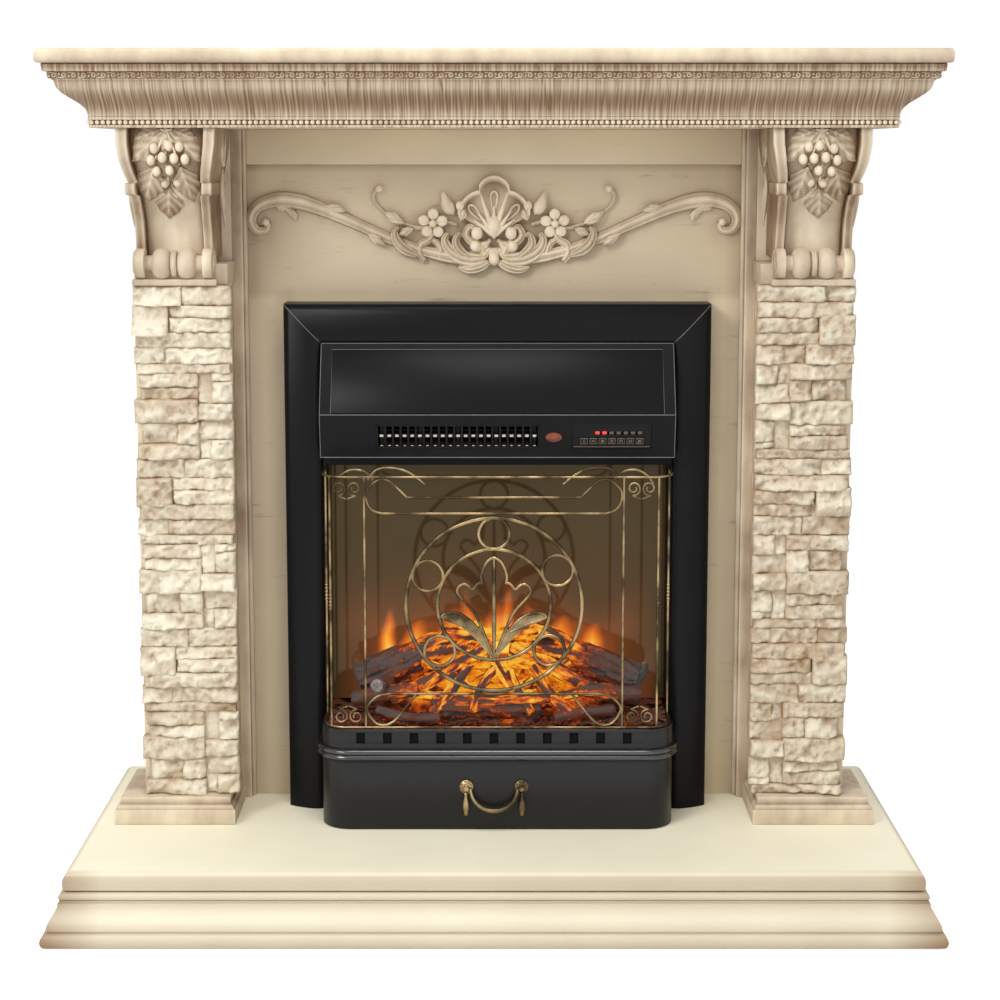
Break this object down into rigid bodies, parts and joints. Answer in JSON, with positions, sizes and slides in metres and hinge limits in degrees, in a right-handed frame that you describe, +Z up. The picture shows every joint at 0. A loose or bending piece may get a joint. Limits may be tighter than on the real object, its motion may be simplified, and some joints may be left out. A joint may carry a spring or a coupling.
{
  "type": "electric fireplace suite",
  "caption": "Painted fireplace surround with stone-clad pillars, carved corbels and a deep hearth around an inset electric fire with a wire guard, ash drawer and press keys.",
  "frame": {"origin": "middle of the hearth's footprint on the floor, at the object's lowest point", "axes": "+X across to the right seen from the front, +Y towards the wall behind, -Y out of the front, +Z up"},
  "size_m": [0.99, 0.402, 0.972],
  "materials": {
    "cream_paint": "satin cream paint with brown glaze in the hollows",
    "hearth_paint": "satin pale cream paint with brown glaze at the edges",
    "panel_paint": "satin beige paint",
    "post_paint": "satin pinkish brown paint",
    "cast_stone": "rough split face",
    "black_steel": "satin black",
    "grey_steel": "plain plated",
    "black_plastic": "satin black",
    "antique_brass": "aged, darkened in the hollows",
    "copper_lens": "clear amber",
    "red_lens": "clear red",
    "smoked_screen": "smoked mirror",
    "glowing_bed": "translucent moulded embers",
    "log_bark": "painted resin bark",
    "circuit_green": "plain",
    "lamp_glass": "clear",
    "mica": "plain",
    "bright_foil": "bright"
  },
  "bodies": {
    "suite": {"hearth_base": "hearth_paint", "hearth_slab": "hearth_paint", "column_base_left": "cream_paint", "column_base_right": "cream_paint", "corner_post_left": "post_paint", "corner_post_right": "post_paint", "pillar_core_left": "post_paint", "pillar_core_right": "post_paint", "stone_cladding_left": "cast_stone", "stone_cladding_right": "cast_stone", "corbel_left": "cream_paint", "corbel_right": "cream_paint", "grape_cluster_left": "cream_paint", "grape_cluster_right": "cream_paint", "back_panel": "panel_paint", "frieze_rail": "post_paint", "side_panel_left": "post_paint", "side_panel_right": "post_paint", "cornice": "cream_paint", "soffit_board": "post_paint", "mantel_top": "cream_paint", "ornament_shell": "cream_paint", "ornament_swag_left": "cream_paint", "ornament_swag_right": "cream_paint", "trim_frame": "black_steel", "fire_chassis": "black_steel", "canopy_hood": "black_steel", "outlet_grille": "black_plastic", "heater_element": "mica", "control_panel": "black_plastic", "indicator_strip": "red_lens", "circuit_board": "circuit_green", "receiver_lens": "copper_lens", "blower_housing": "grey_steel", "flame_screen": "smoked_screen", "flame_reflector": "bright_foil", "spindle_motor": "grey_steel", "lamp_bar": "lamp_glass", "ember_bed": "glowing_bed", "log_left": "log_bark", "log_right": "log_bark", "log_front": "log_bark", "fender_band": "black_steel", "wire_guard": "antique_brass", "guard_medallion": "antique_brass", "cable_gland": "black_plastic"},
    "drawer": {"ashpan_drawer": "black_steel", "handle_rosette_left": "antique_brass", "handle_rosette_right": "antique_brass"},
    "bail": {"bail_handle": "antique_brass"},
    "key_1": {"key_1": "black_plastic"},
    "key_2": {"key_2": "black_plastic"},
    "key_3": {"key_3": "black_plastic"},
    "key_4": {"key_4": "black_plastic"},
    "key_5": {"key_5": "black_plastic"},
    "key_6": {"key_6": "black_plastic"},
    "key_7": {"key_7": "black_plastic"},
    "flicker_spindle": {"flicker_spindle": "bright_foil"},
    "blower_wheel": {"blower_wheel": "black_plastic"}
  },
  "joints": [
    {"name": "drawer_slide", "type": "slide", "parent": "suite", "child": "drawer", "axis": [0, -1, 0], "range_m": [0, 0.1]},
    {"name": "bail_hinge", "type": "hinge", "parent": "drawer", "child": "bail", "pos_m": [0, -0.0483, 0.1323], "axis": [-1, 0, 0], "range_deg": [0, 95]},
    {"name": "key_1_press", "type": "slide", "parent": "suite", "child": "key_1", "axis": [0, 0.9775, 0.2108], "range_m": [0, 0.0012], "stiffness_N_per_m": 400},
    {"name": "key_2_press", "type": "slide", "parent": "suite", "child": "key_2", "axis": [0, 0.9775, 0.2108], "range_m": [0, 0.0012], "stiffness_N_per_m": 400},
    {"name": "key_3_press", "type": "slide", "parent": "suite", "child": "key_3", "axis": [0, 0.9775, 0.2108], "range_m": [0, 0.0012], "stiffness_N_per_m": 400},
    {"name": "key_4_press", "type": "slide", "parent": "suite", "child": "key_4", "axis": [0, 0.9775, 0.2108], "range_m": [0, 0.0012], "stiffness_N_per_m": 400},
    {"name": "key_5_press", "type": "slide", "parent": "suite", "child": "key_5", "axis": [0, 0.9775, 0.2108], "range_m": [0, 0.0012], "stiffness_N_per_m": 400},
    {"name": "key_6_press", "type": "slide", "parent": "suite", "child": "key_6", "axis": [0, 0.9775, 0.2108], "range_m": [0, 0.0012], "stiffness_N_per_m": 400},
    {"name": "key_7_press", "type": "slide", "parent": "suite", "child": "key_7", "axis": [0, 0.9775, 0.2108], "range_m": [0, 0.0012], "stiffness_N_per_m": 400},
    {"name": "spindle_turn", "type": "hinge", "parent": "suite", "child": "flicker_spindle", "pos_m": [0, 0.161, 0.1603], "axis": [1, 0, 0], "continuous": true},
    {"name": "blower_turn", "type": "hinge", "parent": "suite", "child": "blower_wheel", "pos_m": [0, 0.073, 0.5925], "axis": [1, 0, 0], "continuous": true}
  ]
}
